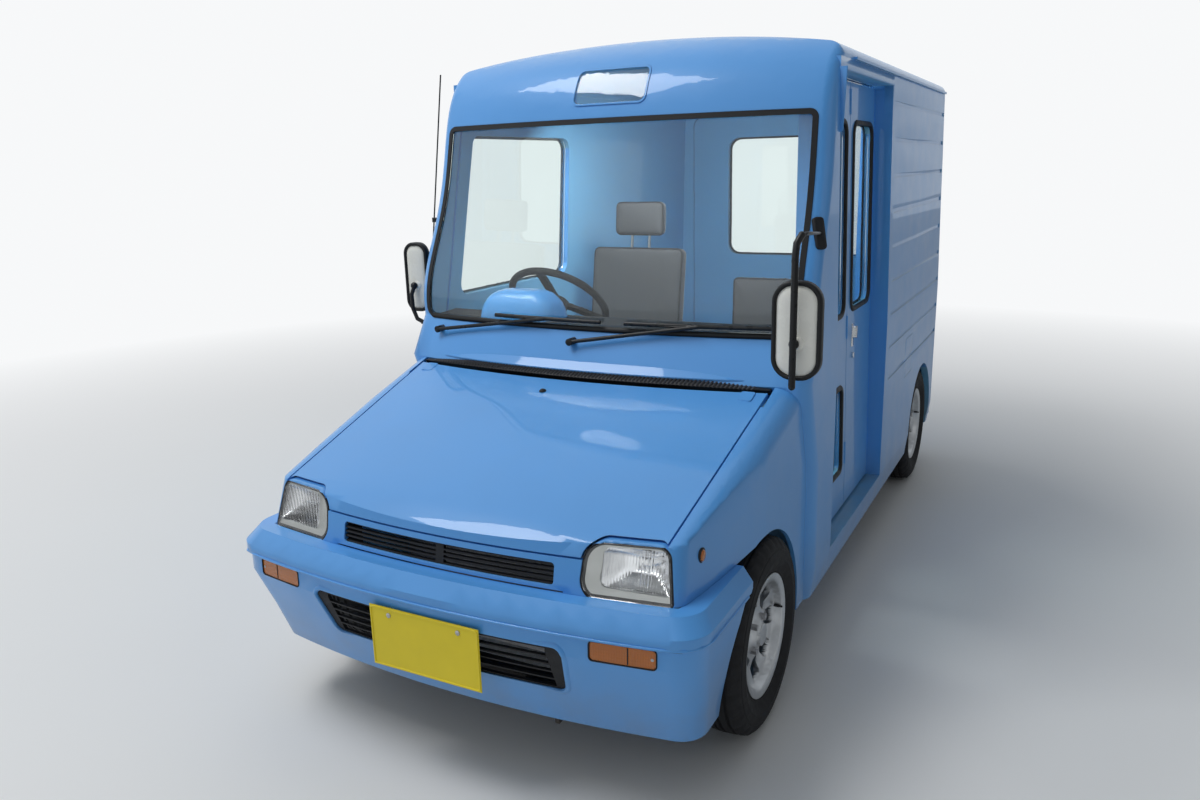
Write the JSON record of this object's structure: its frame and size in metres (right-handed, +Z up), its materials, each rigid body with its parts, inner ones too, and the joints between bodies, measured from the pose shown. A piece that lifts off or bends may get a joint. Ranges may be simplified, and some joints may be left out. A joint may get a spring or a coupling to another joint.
{
  "type": "kei walk-through delivery van",
  "caption": "Small light-blue walk-through van with a short nose, tall box body, folding side door, hinged driver's door, tailgate and bonnet.",
  "frame": {"origin": "on the ground under the middle of the vehicle's box", "axes": "+Z up, +Y towards the tail, +X to the vehicle's left, where the folding door is"},
  "size_m": [1.622, 3.295, 1.8879],
  "materials": {
    "body_paint": "glossy light blue paint",
    "inner_paint": "thin light blue paint under the bonnet",
    "underbody": "dark underseal with worn load-bay paint",
    "chassis_black": "black chassis paint",
    "engine_metal": "cast metal",
    "exhaust_steel": "heat-tinted steel",
    "clear_glass": "clear with a faint green tint",
    "lamp_glass": "clear lamp lens",
    "reflector": "bright reflector",
    "amber_lens": "amber lens",
    "red_lens": "red lens",
    "plate_yellow": "yellow plate, blank",
    "rubber_seal": "black window rubber",
    "black_plastic": "black moulded plastic",
    "dash_plastic": "grained dark plastic",
    "seat_fabric": "woven grey cloth",
    "mirror_shell": "cream mirror back",
    "black_tube": "satin black paint",
    "chrome_trim": "chrome",
    "tyre_rubber": "black tyre",
    "cast_alloy": "silver cast wheel"
  },
  "bodies": {
    "van_body": {"front_mask": "body_paint", "roof": "body_paint", "side_left": "body_paint", "side_right": "body_paint", "rear_frame": "body_paint", "front_wings": "body_paint", "front_panel": "body_paint", "front_bumper": "body_paint", "rear_bumper": "body_paint", "front_glass": "clear_glass", "headlamp_lenses": "lamp_glass", "front_seals": "rubber_seal", "grilles": "black_plastic", "cowl_grille": "black_plastic", "headlamp_shells": "reflector", "amber_lenses": "amber_lens", "tail_lamps": "red_lens", "number_plates": "plate_yellow", "bay_sides": "inner_paint", "wheel_liners": "inner_paint", "strut_towers": "inner_paint", "front_members": "inner_paint", "engine_block": "engine_metal", "floor_pan": "underbody", "lower_arms": "chassis_black", "rear_axle": "chassis_black", "exhaust": "exhaust_steel", "fuel_tank": "chassis_black", "dashboard": "dash_plastic", "steering_column": "black_plastic", "driver_seat": "seat_fabric", "jump_seat": "seat_fabric", "seat_bases": "chassis_black", "mirror_heads": "mirror_shell", "mirror_arms": "black_tube", "wipers": "black_tube", "antenna": "black_tube"},
    "bonnet": {"bonnet": "body_paint"},
    "driver_door": {"driver_door": "body_paint", "driver_door_glass": "clear_glass"},
    "leaf_front": {"leaf_front": "body_paint", "leaf_front_glass": "clear_glass"},
    "leaf_rear": {"leaf_rear": "body_paint", "leaf_rear_glass": "clear_glass", "leaf_handle": "chrome_trim"},
    "tailgate": {"tailgate": "body_paint", "tailgate_glass": "clear_glass"},
    "steering_wheel": {"steering_wheel": "black_plastic"},
    "knuckle_left": {"knuckle_left": "chassis_black"},
    "knuckle_right": {"knuckle_right": "chassis_black"},
    "wheel_front_left": {"tyre_front_left": "tyre_rubber", "rim_front_left": "cast_alloy"},
    "wheel_front_right": {"tyre_front_right": "tyre_rubber", "rim_front_right": "cast_alloy"},
    "wheel_rear_left": {"tyre_rear_left": "tyre_rubber", "rim_rear_left": "cast_alloy"},
    "wheel_rear_right": {"tyre_rear_right": "tyre_rubber", "rim_rear_right": "cast_alloy"}
  },
  "joints": [
    {"name": "bonnet_hinge", "type": "hinge", "parent": "van_body", "child": "bonnet", "pos_m": [0, -0.856, 0.871], "axis": [-1, 0, 0], "range_deg": [0, 50]},
    {"name": "driver_door_hinge", "type": "hinge", "parent": "van_body", "child": "driver_door", "pos_m": [-0.703, -0.5975, 0.6], "axis": [0, 0, 1], "range_deg": [0, 65]},
    {"name": "leaf_front_hinge", "type": "hinge", "parent": "van_body", "child": "leaf_front", "pos_m": [0.6325, -0.437, 0.30466], "axis": [-0.0226, 0, 0.9997], "range_deg": [0, 78]},
    {"name": "leaf_rear_hinge", "type": "hinge", "parent": "leaf_front", "child": "leaf_rear", "pos_m": [0.6475, -0.071, 0.305], "axis": [-0.0226, 0, 0.9997], "range_deg": [-156, 0]},
    {"name": "tailgate_hinge", "type": "hinge", "parent": "van_body", "child": "tailgate", "pos_m": [0, 1.62, 1.745], "axis": [1, 0, 0], "range_deg": [0, 85]},
    {"name": "steer_left", "type": "hinge", "parent": "van_body", "child": "knuckle_left", "pos_m": [0.5, -1.0485, 0.268], "axis": [0, 0, 1], "range_deg": [-30, 30]},
    {"name": "steer_right", "type": "hinge", "parent": "van_body", "child": "knuckle_right", "pos_m": [-0.5, -1.0485, 0.268], "axis": [0, 0, 1], "range_deg": [-30, 30]},
    {"name": "steering_wheel_turn", "type": "hinge", "parent": "van_body", "child": "steering_wheel", "pos_m": [-0.33, -0.375, 1.03], "axis": [0, 0.7071, 0.7071], "range_deg": [-450, 450]},
    {"name": "spin_front_left", "type": "hinge", "parent": "knuckle_left", "child": "wheel_front_left", "pos_m": [0.6155, -1.0485, 0.268], "axis": [1, 0, 0], "continuous": true},
    {"name": "spin_front_right", "type": "hinge", "parent": "knuckle_right", "child": "wheel_front_right", "pos_m": [-0.6155, -1.0485, 0.268], "axis": [1, 0, 0], "continuous": true},
    {"name": "spin_rear_left", "type": "hinge", "parent": "van_body", "child": "wheel_rear_left", "pos_m": [0.6155, 1.2315, 0.268], "axis": [1, 0, 0], "continuous": true},
    {"name": "spin_rear_right", "type": "hinge", "parent": "van_body", "child": "wheel_rear_right", "pos_m": [-0.6155, 1.2315, 0.268], "axis": [1, 0, 0], "continuous": true}
  ],
  "couplings": [
    {"joint": "leaf_rear_hinge", "follows": "leaf_front_hinge", "ratio": -2},
    {"joint": "steer_right", "follows": "steer_left", "ratio": 1},
    {"joint": "steering_wheel_turn", "follows": "steer_left", "ratio": 15}
  ]
}
